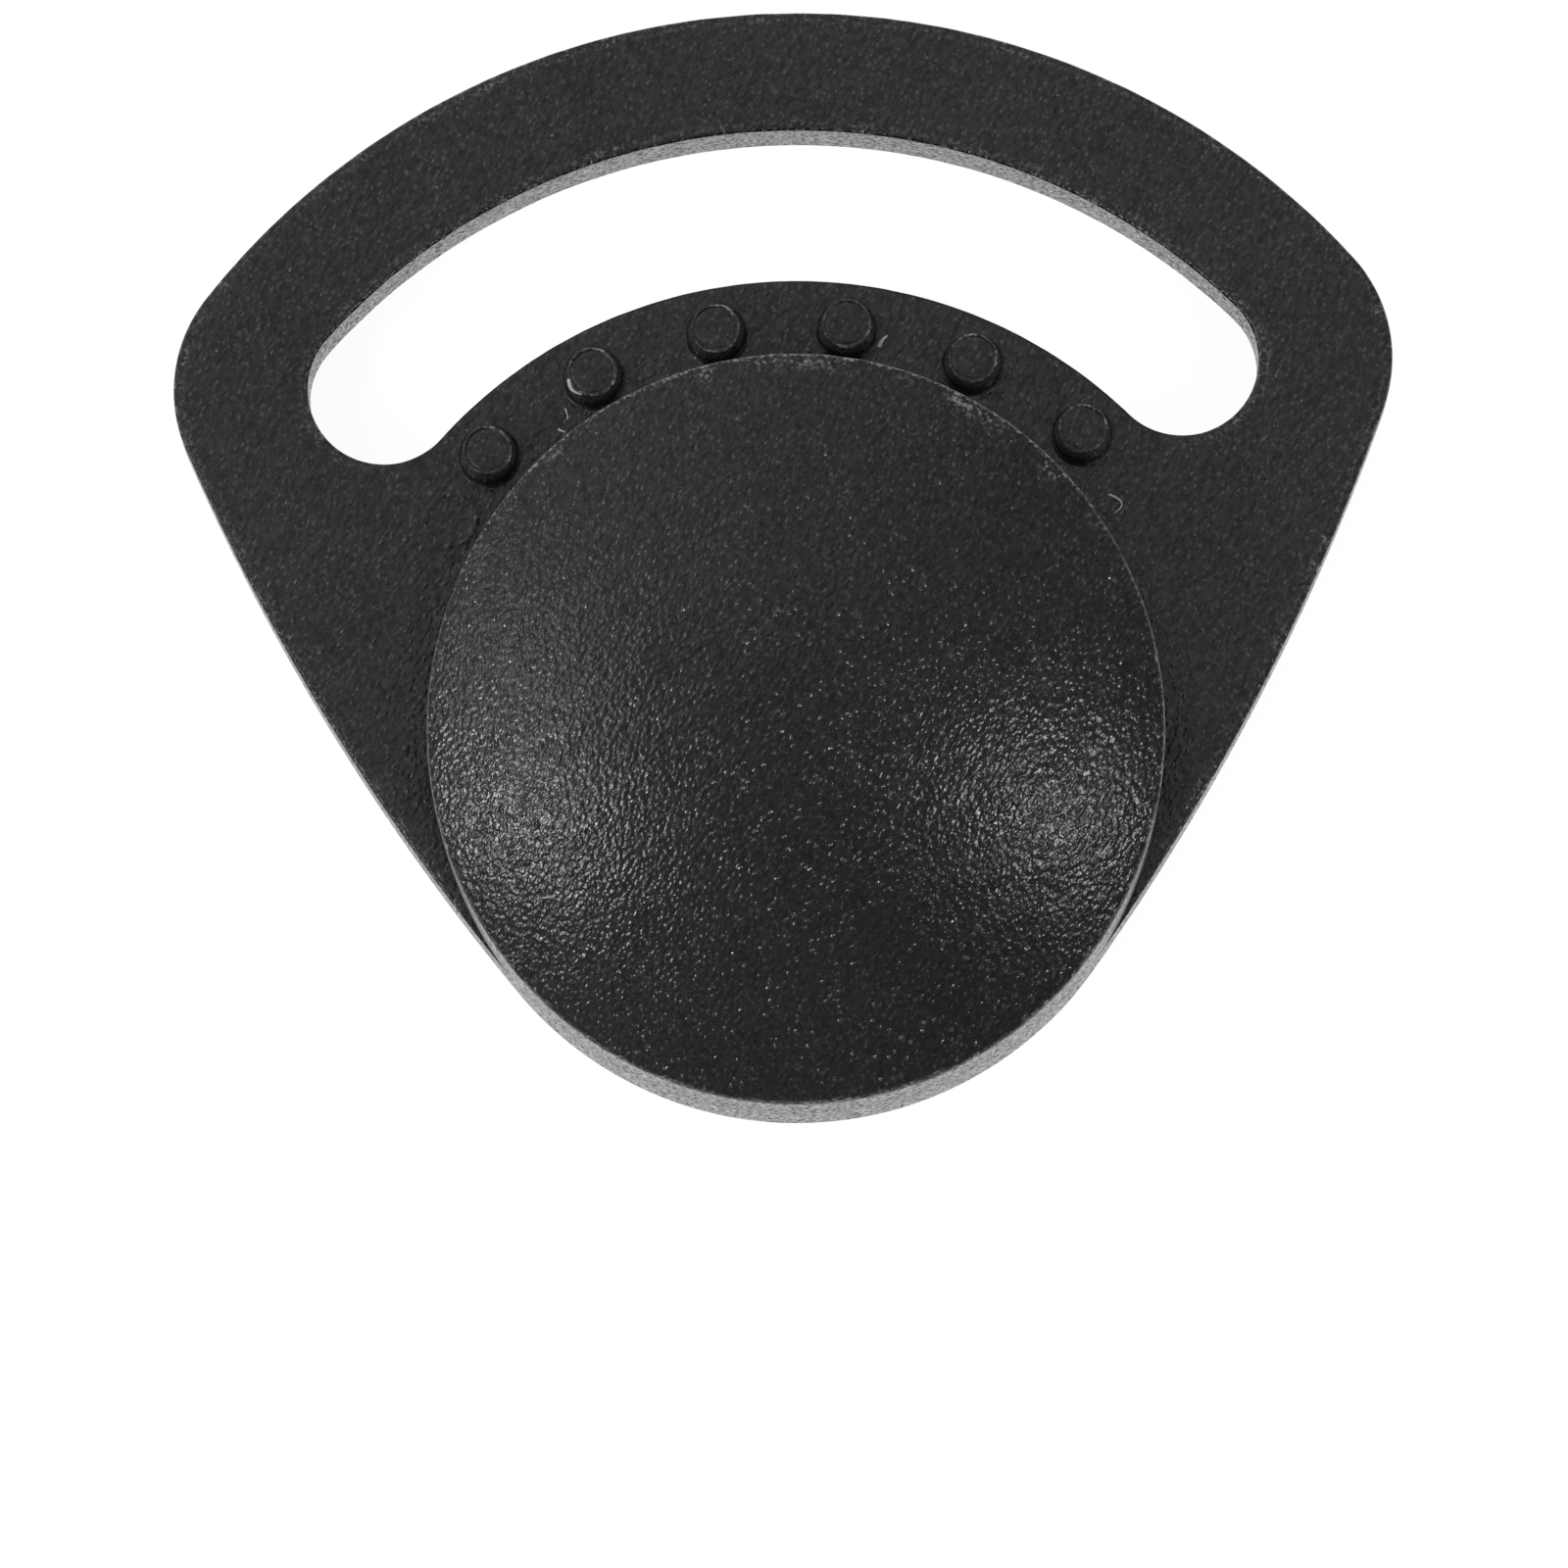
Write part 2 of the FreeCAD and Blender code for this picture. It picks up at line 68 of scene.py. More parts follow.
mounts = {mount["name"]: mount["dims"] for mount in frame["record"]["mounts"]}
plate_low, plate_high = box_mm("plate_upper")
_, collar_high = box_mm("collar_wall")
cap_low, _ = box_mm("hook_cap")

HALF_WIDTH = plate_high.x
ARCH_RADIUS = plate_high.y
BUTTON_RADIUS = -plate_low.y
PARTING = plate_low.z
TOP = plate_high.z
CREASE_DROP = -collar_high.y
EYE_RADIUS = mounts["round_eye"]["hole_r_mm"]
SLOT_END_RADIUS = mounts["strap_slot"]["hole_r_mm"]

# Sizes of the same object that no box holds

SHOULDER_RADIUS = 7.45
FLANK_RADIUS = 113.0
SLOT_INNER_RADIUS = 23.4
SLOT_OUTER_RADIUS = SLOT_INNER_RADIUS + 2 * SLOT_END_RADIUS
SLOT_HALF_ANGLE = math.radians(46.35)
END_WALL_DROP = 10.1
END_WALL_HALF_WIDTH = 12.1
CAP_TILT = math.radians(11.0)
CAP_CROWN = 3.4
CAP_THICKNESS = 2.05
PARTING_STEP = 0.06
BOTTOM_ROUND = 0.4
PEG_TAPER = 0.18

# The cap's top is part of a ball. Its rim is where the ball meets the button's column, on a
# plane that leans by the cap's tilt.

RIM_HEIGHT = cap_low.z + CAP_THICKNESS + BUTTON_RADIUS * math.tan(CAP_TILT)
RIM_REACH = BUTTON_RADIUS / math.cos(CAP_TILT)
BALL_RADIUS = (RIM_REACH ** 2 + CAP_CROWN ** 2) / (2 * CAP_CROWN)
BALL_DEPTH = BALL_RADIUS - CAP_CROWN
BALL_Y = BALL_DEPTH * math.sin(CAP_TILT)
BALL_Z = RIM_HEIGHT - BALL_DEPTH * math.cos(CAP_TILT)

# Finish: roundings and burrs, in millimetres. HAIRLINE is the rounding of an edge that another
# piece covers, and edges sharper than the two limits have no burr or no wear.

TOP_ROUND = 0.18
EYE_ROUND = 0.08
CAP_ROUND = 0.2
CAP_UNDER_ROUND = 0.1
HAIRLINE = 0.002
CROWN_WIDTH = 1.5
CROWN_HEIGHT = 0.045
BURR_WIDTH = 0.14
BURR_HEIGHT = 0.09
EYE_BURR = 0.03
CAP_BURR = 0.12
BURR_LIMIT = 0.05
WEAR_LIMIT = 0.02
PARTING_GROOVE = 0.09
EYE_GROOVE = 0.02
TIP_MELT = 0.16

# Marks of the mould, in millimetres

MARK_RADIUS = 1.55
MARK_DEPTH = 0.06
MARK_GROOVE = 0.09
MARK_RADII = np.array([0.5, 0.84, 0.92, 0.96, 1.0, 1.04, 1.08, 1.16, 1.3])
BAR_MIDDLE_RADIUS = (SLOT_OUTER_RADIUS + ARCH_RADIUS) / 2
LAND_MIDDLE_RADIUS = (SLOT_INNER_RADIUS + EYE_RADIUS) / 2
TIP_MIDDLE = (END_WALL_DROP + BUTTON_RADIUS) / 2
BAR_MARK_ANGLE = math.radians(49)
LAND_MARK_ANGLE = math.radians(47.6)
TIP_MARK_OFFSET = 5.5
DIMPLE_PLACE = np.array([19.1, 12.65])
DIMPLE_LEAN = math.radians(-55)
DIMPLE_SQUASH = 0.55
DIMPLE_DEPTH = 0.3
WITNESS_PLACE_RADIUS = SLOT_INNER_RADIUS - 2.9
WITNESS_PLACE_ANGLE = math.radians(36.1)
WITNESS_RADIUS = 1.25
WITNESS_HEIGHT = 0.025
WITNESS_RADII = np.array([0.7, 0.92, 0.97, 1.0, 1.03, 1.08, 1.3])
SMUDGE_REACH = 1.5
SMUDGE_HEIGHT = 0.05
SMUDGE_STEP = 0.11
BAR_RING_HEIGHT = 0.02
RIDGE_PITCH = 0.76
RIDGE_HEIGHT = 0.035
RIDGE_DIRECTION = math.radians(128)

# Flash. Each thread: the peg that it is beside, its start, bend and end as offsets from the
# middle of the peg's foot, and its radius. The curl stands out of the end wall under the cap.

THREAD_STEPS = 12
THREAD_SIDES = 7
THREAD_TAPER = 0.6
THREAD_WEAR = 3.0
THREADS = [
    ("peg_middle_left", (-1.15, -0.33, 1.90), (-1.20, -0.98, 2.02), (-0.55, -1.08, 1.90), 0.11),
    ("peg_middle_left", (-1.42, -1.47, 0.00), (-1.30, -1.75, 0.12), (-1.34, -2.01, 0.03), 0.05),
    ("peg_middle_left", (-1.79, -2.48, 0.00), (-1.60, -2.60, 0.15), (-1.46, -2.64, 0.05), 0.06),
    ("peg_inner_right", (1.55, -0.86, 0.00), (1.70, -0.55, 0.22), (1.98, -0.37, 0.05), 0.12),
    ("peg_outer_right", (1.20, -3.02, 0.00), (2.30, -3.50, 0.25), (1.39, -3.96, 0.03), 0.055),
]
CURL_RADIUS = 0.12
CURL = np.array([
    (1.6, -END_WALL_DROP - 0.1, collar_high.z - 4.2),
    (2.6, -END_WALL_DROP + 1.3, collar_high.z - 4.0),
    (3.4, -END_WALL_DROP + 0.35, collar_high.z - 4.9),
])

# Fineness of the meshes: steps in millimetres, and counts of steps or points

OUTLINE_STEP = 0.3
FIELD_STEP = 1.1
HIDDEN_STEP = 3.0
CAP_STEP = 0.8
RIM_COUNT = 600
PEG_SIDES = 56
TOP_EDGE_STEPS = 4
BOTTOM_EDGE_STEPS = 5
CAP_EDGE_STEPS = 5
CAP_UNDER_STEPS = 3


def cap_top(points):
    """Height of the cap's domed top over plan points."""
    across = points[:, 0] ** 2 + (points[:, 1] - BALL_Y) ** 2
    return BALL_Z + np.sqrt(BALL_RADIUS ** 2 - across)


def cap_under(points):
    return cap_top(points) - CAP_THICKNESS


# Closed plan loops. Material is always on the left, so outlines run counter-clockwise and
# openings run clockwise.


def polar(radius, angle):
    return np.array([radius * math.cos(angle), radius * math.sin(angle)])


def mirror(point):
    return np.array([-point[0], point[1]])


def turned(points, angle):
    """Plan points turned counter-clockwise about the origin."""
    cosine, sine = math.cos(angle), math.sin(angle)
    return points @ np.array([[cosine, sine], [-sine, cosine]])


def unit_circle(count, squash=1.0):
    """Points of a circle of radius 1, or of an oval that is squashed along Y."""
    angles = np.linspace(0, FULL_TURN, count, endpoint=False)
    return np.column_stack([np.cos(angles), squash * np.sin(angles)])


def arc(centre, radius, start, end):
    """Points of an arc, without its last one, because the next stretch starts there."""
    count = max(3, math.ceil(abs(end - start) * radius / OUTLINE_STEP))
    angles = np.linspace(start, end, count, endpoint=False)
    return centre + radius * np.column_stack([np.cos(angles), np.sin(angles)])


def line(start, end):
    """Points of a straight stretch, without its last one."""
    count = max(1, math.ceil(np.linalg.norm(end - start) / OUTLINE_STEP))
    share = np.linspace(0, 1, count, endpoint=False)[:, None]
    return start + (end - start) * share


def turn(centre, start, end):
    """First and last angle of a counter-clockwise arc about centre between two points."""
    first = math.atan2(*(start - centre)[::-1])
    last = math.atan2(*(end - centre)[::-1])
    return first, last if last > first else last + FULL_TURN


def plate_outline():
    """Six tangent arcs: arch, shoulder, flank, tip, flank and shoulder."""
    shoulder_x = HALF_WIDTH - SHOULDER_RADIUS
    reach = ARCH_RADIUS - SHOULDER_RADIUS
    shoulder = np.array([shoulder_x, math.sqrt(reach ** 2 - shoulder_x ** 2)])
    from_axis = FLANK_RADIUS - BUTTON_RADIUS
    from_shoulder = FLANK_RADIUS - SHOULDER_RADIUS
    along = (from_axis ** 2 - from_shoulder ** 2 + reach ** 2) / (2 * reach)
    across = math.sqrt(from_axis ** 2 - along ** 2)
    unit = shoulder / reach
    flank = unit * along + np.array([-unit[1], unit[0]]) * across
    arch_end = unit * ARCH_RADIUS
    shoulder_end = flank + (shoulder - flank) / from_shoulder * FLANK_RADIUS
    tip_end = -flank / from_axis * BUTTON_RADIUS
    stretches = [
        (AXIS, ARCH_RADIUS, arch_end, mirror(arch_end)),
        (mirror(shoulder), SHOULDER_RADIUS, mirror(arch_end), mirror(shoulder_end)),
        (mirror(flank), FLANK_RADIUS, mirror(shoulder_end), mirror(tip_end)),
        (AXIS, BUTTON_RADIUS, mirror(tip_end), tip_end),
        (flank, FLANK_RADIUS, tip_end, shoulder_end),
        (shoulder, SHOULDER_RADIUS, shoulder_end, arch_end),
    ]
    arcs = [
        arc(centre, radius, *turn(centre, start, end))
        for centre, radius, start, end in stretches
    ]
    return np.concatenate(arcs)


def slot_loop():
    """Curved strap slot, clockwise: far wall, right end, near wall and left end."""
    middle = SLOT_INNER_RADIUS + SLOT_END_RADIUS
    right = RIGHT_ANGLE - SLOT_HALF_ANGLE
    left = RIGHT_ANGLE + SLOT_HALF_ANGLE
    return np.concatenate([
        arc(AXIS, SLOT_OUTER_RADIUS, left, right),
        arc(polar(middle, right), SLOT_END_RADIUS, right, right - math.pi),
        arc(AXIS, SLOT_INNER_RADIUS, right, left),
        arc(polar(middle, left), SLOT_END_RADIUS, left + math.pi, left),
    ])


def eye_corners():
    """Right ends of the eye's facet: the crease on the circle, and the end wall's corner."""
    crease = np.array([math.sqrt(EYE_RADIUS ** 2 - CREASE_DROP ** 2), -CREASE_DROP])
    corner = np.array([END_WALL_HALF_WIDTH, -END_WALL_DROP])
    return crease, corner


def eye_facets():
    """Open stretch from the right crease along the flat walls to the left crease."""
    crease, corner = eye_corners()
    return np.concatenate([
        line(crease, corner),
        line(corner, mirror(corner)),
        line(mirror(corner), mirror(crease)),
    ])


def eye_loop():
    """Eye, clockwise: round towards the slot, with two facets and a flat end wall."""
    crease, _ = eye_corners()
    start, end = turn(AXIS, crease, mirror(crease))
    return np.concatenate([arc(AXIS, EYE_RADIUS, end, start), eye_facets()])


def collar_outline():
    """Collar: round outside, the eye's flat walls inside, straight ends at the creases."""
    crease, _ = eye_corners()
    outside = np.array([math.sqrt(BUTTON_RADIUS ** 2 - CREASE_DROP ** 2), -CREASE_DROP])
    return np.concatenate([
        arc(AXIS, BUTTON_RADIUS, *turn(AXIS, mirror(outside), outside)),
        line(outside, crease),
        eye_facets(),
        line(mirror(crease), mirror(outside)),
    ])


def inward(loop):
    """Mitred directions into the material, one for each point of a loop."""
    edge = np.roll(loop, -1, axis=0) - loop
    edge /= np.linalg.norm(edge, axis=1)[:, None]
    after = np.column_stack([-edge[:, 1], edge[:, 0]])
    before = np.roll(after, 1, axis=0)
    meet = 1 + (after * before).sum(axis=1)[:, None]
    return (after + before) / meet


def inside(points, loop):
    """Even-odd test of points against one closed loop."""
    after = np.roll(loop, -1, axis=0)
    x = points[:, 0][:, None]
    y = points[:, 1][:, None]
    spans = (loop[:, 1] > y) != (after[:, 1] > y)
    rise = np.where(after[:, 1] == loop[:, 1], 1.0, after[:, 1] - loop[:, 1])
    crossing = loop[:, 0] + (y - loop[:, 1]) * (after[:, 0] - loop[:, 0]) / rise
    return (spans & (x < crossing)).sum(axis=1) % 2 == 1


def between(points, loops):
    """Which points are inside the first loop and outside the others."""
    keep = inside(points, loops[0])
    for opening in loops[1:]:
        keep &= ~inside(points, opening)
    return keep


# Shares and noise


def blend(value, low, high):
    """Smooth step from 0 at low to 1 at high."""
    share = np.clip((value - low) / (high - low), 0, 1)
    return share * share * (3 - 2 * share)


def rough(points, pitch, seed):
    """Smooth noise from about -1 to 1 over plan points, with features of one pitch."""
    values = [noise.noise(Vector((x / pitch, y / pitch, seed))) for x, y in points]
    return np.clip(np.array(values) * 1.8, -1, 1)


def circle_line(points, centre, radius, width):
    """1 on a circle, falling to 0 beside it. The width is a share of the radius."""
    away = np.linalg.norm(points - centre, axis=1) / radius
    return np.exp(-((away - 1) / width) ** 2)


def quarter_turn(steps):
    """Angles round a rounded edge, from 0 to a right angle."""
    return np.linspace(0, RIGHT_ANGLE, steps + 1)


# Mesh building


class Shell:
    """Points and faces of one closed piece, with two weights per point: one for worn edges and
    painted highlight, and one for tooling.
    """

    def __init__(self):
        self.points = []
        self.wear_and_highlight = []
        self.tooled = []
        self.faces = []

    def ring(self, plan, height, wear_and_highlight=0.0, tooled=0.0):
        """Add one loop of points and return their numbers."""
        first = len(self.points)
        count = len(plan)
        height = np.broadcast_to(height, count)
        self.points += [(x, y, z) for (x, y), z in zip(plan, height)]
        self.wear_and_highlight += list(np.broadcast_to(wear_and_highlight, count))
        self.tooled += list(np.broadcast_to(tooled, count))
        return np.arange(first, first + count)

    def column(self, plan, low, high, levels, tooled=0.0):
        """Rings one above the other."""
        heights = np.linspace(low, high, levels)
        return [self.ring(plan, height, tooled=tooled) for height in heights]

    def walls(self, rings):
        """Faces between loops of equal length, facing away from the material."""
        for lower, upper in zip(rings, rings[1:]):
            after_lower = np.roll(lower, -1)
            after_upper = np.roll(upper, -1)
            self.faces += list(zip(lower, after_lower, after_upper, upper))

    def field(self, rings, upwards, height, extra, tooled=0.0):
        """Fill between loops with triangles, on a height field over extra inner points. The
        loops are rounded as the triangulation rounds them, so that thin triangles at a rim
        fall on the right side of it."""
        loops = [np.float32([self.points[i][:2] for i in ring]).astype(float) for ring in rings]
        edge_points = np.concatenate(loops)
        numbers = list(np.concatenate(rings))
        extra = extra[between(extra, loops)]
        gap = np.full(len(extra), np.inf)
        for x, y in edge_points:
            gap = np.minimum(gap, (extra[:, 0] - x) ** 2 + (extra[:, 1] - y) ** 2)
        extra = extra[gap > (OUTLINE_STEP / 2) ** 2]
        numbers += list(self.ring(extra, height(extra), tooled=tooled))
        plan = [Vector(point) for point in np.concatenate([edge_points, extra])]
        edges = []
        first = 0
        for loop in loops:
            count = len(loop)
            edges += [(first + i, first + (i + 1) % count) for i in range(count)]
            first += count
        flat, _, triangles, origin, _, _ = geometry.delaunay_2d_cdt(plan, edges, [], 0, 1e-6)
        flat = np.array([tuple(point) for point in flat])
        triangles = np.array([tuple(triangle) for triangle in triangles])
        triangles = triangles[between(flat[triangles].mean(axis=1), loops)]
        a, b, c = (flat[triangles[:, k]] for k in range(3))
        turn_left = np.cross(b - a, c - a) > 0
        for triangle, left in zip(triangles, turn_left):
            corners = [numbers[origin[k][0]] for k in triangle]
            self.faces.append(corners if left == upwards else corners[::-1])

    def level_field(self, rings, upwards, height, extra):
        """Flat face between loops."""
        self.field(rings, upwards, lambda plan: np.full(len(plan), height), extra)


def add_piece(shell, name, material, node, sharp=38.0):
    """Turn a shell into a piece that stands for a CAD node and rides on the body."""
    mesh = bpy.data.meshes.new(name)
    points = np.array(shell.points) * MM
    faces = [tuple(int(i) for i in face) for face in shell.faces]
    mesh.from_pydata(points.tolist(), [], faces)
    for layer, values in (("wear_and_highlight", shell.wear_and_highlight), ("tooled", shell.tooled)):
        attribute = mesh.attributes.new(layer, "FLOAT", "POINT")
        attribute.data.foreach_set("value", np.array(values, dtype=np.float32))
    mesh.validate()
    mesh.polygons.foreach_set("use_smooth", [True] * len(mesh.polygons))
    mesh.set_sharp_from_angle(angle=math.radians(sharp))
    mesh.materials.append(material)
    piece = bpy.data.objects.new(name, mesh)
    bpy.context.scene.collection.objects.link(piece)
    weighted = piece.modifiers.new("weighted_normals", "WEIGHTED_NORMAL")
    weighted.keep_sharp = True
    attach(piece, BODY)
    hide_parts(node)
    return piece


def grid(half_width, low, high, step):
    """Staggered plan points over a rectangle."""
    rows = np.arange(low, high, step)
    columns = np.arange(-half_width, half_width, step)
    x, y = np.meshgrid(columns, rows)
    x = x + (np.arange(len(rows)) % 2)[:, None] * step / 2
    return np.column_stack([x.ravel(), y.ravel()])


def plate_grid(step):
    return grid(HALF_WIDTH, -BUTTON_RADIUS, ARCH_RADIUS, step)


def rings_about(centre, radii, count=48, squash=1.0, lean=0.0):
    """Concentric plan rings, round or oval."""
    circle = turned(unit_circle(count, squash), lean)
    return np.concatenate([centre + radius * circle for radius in radii])


def thread(shell, start, bend, end, radius):
    """Thread of flash: a thin tube on a curve that leaves start towards bend and tapers to end."""
    angles = np.linspace(0, FULL_TURN, THREAD_SIDES, endpoint=False)[:, None]
    rings = []
    for share in np.linspace(0, 1, THREAD_STEPS):
        centre = (1 - share) ** 2 * start + 2 * share * (1 - share) * bend + share ** 2 * end
        ahead = (1 - share) * (bend - start) + share * (end - bend)
        side = np.cross(ahead, (0, 0, 1))
        side /= np.linalg.norm(side)
        lift = np.cross(ahead, side)
        lift /= np.linalg.norm(lift)
        thickness = radius * (1 - THREAD_TAPER * share)
        points = centre + thickness * (np.cos(angles) * side + np.sin(angles) * lift)
        rings.append(shell.ring(points[:, :2], points[:, 2], THREAD_WEAR))
    shell.walls(rings)
    shell.faces.append(list(rings[0][::-1]))
    shell.faces.append(list(rings[-1]))


# Plate


def peg_foot(name):
    """Middle of the peg's foot, on the plate's top face."""
    low, high = box_mm(name)
    return np.array([(low.x + high.x) / 2, (low.y + high.y) / 2, low.z])


def underside_marks():
    """Centres of the round ejector marks."""
    centres = [
        polar(BAR_MIDDLE_RADIUS, BAR_MARK_ANGLE),
        polar(LAND_MIDDLE_RADIUS, LAND_MARK_ANGLE),
        np.array([TIP_MARK_OFFSET, -TIP_MIDDLE]),
    ]
    return centres + [mirror(centre) for centre in centres]


def dimples():
    """Oval dimples beside the slot ends, as centre and lean."""
    return [(DIMPLE_PLACE, DIMPLE_LEAN), (mirror(DIMPLE_PLACE), -DIMPLE_LEAN)]


def witness_marks():
    """Centres of the faint witness circles by the outer pegs: right, then left."""
    right = polar(WITNESS_PLACE_RADIUS, WITNESS_PLACE_ANGLE)
    return right, mirror(right)


def bar_ring():
    """Centre of the half ring in the middle of the strap bar's top."""
    return np.array([0.0, BAR_MIDDLE_RADIUS])


def under_relief(points):
    """Height of the underside: round ejector marks with a groove at the edge, and dimples."""
    height = np.zeros(len(points))
    for centre in underside_marks():
        away = np.linalg.norm(points - centre, axis=1) / MARK_RADIUS
        height += MARK_DEPTH * (1 - blend(away, 0.93, 1.0))
        height += MARK_GROOVE * circle_line(points, centre, MARK_RADIUS, width=0.06)
    for centre, lean in dimples():
        local = turned(points - centre, -lean)
        away = np.hypot(local[:, 0], local[:, 1] / DIMPLE_SQUASH)
        height += DIMPLE_DEPTH * (1 - blend(away, 0.45, 1.0))
    return height


def under_points():
    """Inner points of the underside: an even field, and fine rings where marks are."""
    parts = [plate_grid(FIELD_STEP)]
    parts += [rings_about(centre, MARK_RADII * MARK_RADIUS) for centre in underside_marks()]
    radii = np.linspace(0.15, 1.15, 8)
    for centre, lean in dimples():
        parts.append(rings_about(centre, radii, count=28, squash=DIMPLE_SQUASH, lean=lean))
    return np.concatenate(parts)


def top_relief(points):
    """Height of the top face: witness circles, a rough smudge by the right one, and half a ring
    on the strap bar."""
    height = np.full(len(points), TOP)
    for centre in witness_marks():
        height += WITNESS_HEIGHT * circle_line(points, centre, WITNESS_RADIUS, width=0.06)
    smudge, _ = witness_marks()
    away = np.linalg.norm(points - smudge, axis=1)
    lumps = np.maximum(rough(points, pitch=0.22, seed=5.0), -0.2)
    height += SMUDGE_HEIGHT * lumps * (1 - blend(away, 0.5, SMUDGE_REACH))
    right_half = blend(points[:, 0], -0.4, 1.0)
    ring = circle_line(points, bar_ring(), MARK_RADIUS, width=0.05)
    return height + BAR_RING_HEIGHT * right_half * ring


def top_points():
    """Inner points of the plate's top: an even field, and fine points where marks are."""
    right, left = witness_marks()
    return np.concatenate([
        plate_grid(FIELD_STEP),
        grid(SMUDGE_REACH, -SMUDGE_REACH, SMUDGE_REACH, SMUDGE_STEP) + right,
        rings_about(left, WITNESS_RADII * WITNESS_RADIUS),
        rings_about(bar_ring(), WITNESS_RADII * MARK_RADIUS),
    ])


def under_cap_share(loop):
    """1 where the collar stands over a loop's point, and 0 clear of it."""
    away = np.abs(np.linalg.norm(loop, axis=1) - BUTTON_RADIUS)
    beside = 1 - blend(away, 0.05, 0.9)
    return beside * blend(-loop[:, 1], CREASE_DROP, CREASE_DROP + 2.0)


def rounded_top(shell, loop, radius, wear_and_highlight, burr, crown, tooled):
    """Rings round a loop's top edge, from the wall to the top face, with a ragged burr. The
    face falls away towards the edge by the crown's height, and the wear fades out on it."""
    into = inward(loop)
    rings = []
    for angle in quarter_turn(TOP_EDGE_STEPS):
        plan = loop + into * (radius * (1 - math.cos(angle)))[:, None]
        height = TOP - crown - radius * (1 - math.sin(angle)) + burr * math.sin(angle)
        rings.append(shell.ring(plan, height, wear_and_highlight * math.sin(2 * angle) ** 0.5, tooled))
    width = BURR_WIDTH + (CROWN_WIDTH - BURR_WIDTH) * crown / CROWN_HEIGHT
    for share, worn in ((0.1, 0.75), (0.3, 0.0), (0.6, 0.0), (1.0, 0.0)):
        plan = loop + into * (radius + share * width)[:, None]
        rings.append(shell.ring(plan, TOP - crown * (1 - share) ** 2, wear_and_highlight * worn))
    return rings


def make_plate_upper(material):
    """Plate above the parting line. Each loop has its rounding, how much the face falls
    towards it, its burr, tooling, groove at the parting line, and how worn it is."""
    shell = Shell()
    outline = plate_outline()
    slot = slot_loop()
    eye = eye_loop()
    clear = 1 - under_cap_share(outline)
    free_eye = blend(eye[:, 1], -CREASE_DROP - 0.01, -CREASE_DROP + 0.6)
    far_side = blend(np.linalg.norm(slot, axis=1), SLOT_INNER_RADIUS + 0.5, SLOT_INNER_RADIUS + 2)
    outline_round = TOP_ROUND * clear * (1 + 0.2 * rough(outline, pitch=1.3, seed=1.0)) + HAIRLINE
    slot_round = TOP_ROUND * (1 + 0.25 * rough(slot, pitch=1.1, seed=2.0))
    eye_round = EYE_ROUND * free_eye * (1 + 0.3 * rough(eye, pitch=0.9, seed=3.0)) + HAIRLINE
    edges = [
        (outline, outline_round, clear, 0.0, 0.0, PARTING_GROOVE, 1.0),
        (slot, slot_round, np.ones(len(slot)), BURR_HEIGHT, 0.0, PARTING_GROOVE, far_side),
        (eye, eye_round, np.zeros(len(eye)), EYE_BURR, 1.0, EYE_GROOVE, 0.6),
    ]
    bottoms = []
    tops = []
    for loop, radius, fall, burr_height, tooled, groove, worn in edges:
        flecks = np.maximum(rough(loop, pitch=0.8, seed=7.0) - 0.35, 0)
        burr = burr_height * flecks * (radius > BURR_LIMIT)
        wear_and_highlight = worn * (0.25 + 0.75 * np.maximum(rough(loop, pitch=0.7, seed=9.0), 0))
        bottom = shell.ring(loop + inward(loop) * groove, PARTING)
        wall_top = TOP - CROWN_HEIGHT - radius.max() - 0.02
        wall = shell.column(loop, PARTING + groove, wall_top, 5, tooled)
        crown = CROWN_HEIGHT * fall
        edge = rounded_top(shell, loop, radius, wear_and_highlight * (radius > WEAR_LIMIT), burr, crown, tooled)
        shell.walls([bottom] + wall + edge)
        bottoms.append(bottom)
        tops.append(edge[-1])
    shell.level_field(bottoms, False, PARTING, plate_grid(HIDDEN_STEP))
    shell.field(tops, True, top_relief, top_points())
    for peg, start, bend, end, radius in THREADS:
        foot = peg_foot(peg)
        thread(shell, foot + start, foot + bend, foot + end, radius)
    return add_piece(shell, "buckle_plate_upper", material, "plate_upper")


def make_plate_lower(material):
    """Plate below the parting line: its walls stand back a little, apart from the eye's, and
    its bottom edges are round."""
    shell = Shell()
    bottoms = []
    tops = []
    for loop, radius, step, groove, tooled in (
        (plate_outline(), BOTTOM_ROUND, PARTING_STEP, PARTING_GROOVE, 0.0),
        (slot_loop(), BOTTOM_ROUND, PARTING_STEP, PARTING_GROOVE, 0.0),
        (eye_loop(), EYE_ROUND, 0.0, EYE_GROOVE, 1.0),
    ):
        into = inward(loop)
        ragged = radius * (1 + 0.12 * rough(loop, pitch=1.7, seed=4.0))
        rings = []
        for angle in quarter_turn(BOTTOM_EDGE_STEPS):
            plan = loop + into * (step + ragged * (1 - math.sin(angle)))[:, None]
            rings.append(shell.ring(plan, ragged * (1 - math.cos(angle)), tooled=tooled))
        base = loop + into * step
        rings += shell.column(base, BOTTOM_ROUND * 1.2, PARTING - groove, 3, tooled)
        rings.append(shell.ring(base + into * groove, PARTING))
        shell.walls(rings)
        bottoms.append(rings[0])
        tops.append(rings[-1])
    shell.level_field(tops, True, PARTING, plate_grid(HIDDEN_STEP))
    shell.field(bottoms, False, under_relief, under_points())
    return add_piece(shell, "buckle_plate_lower", material, "plate_lower")


# Collar


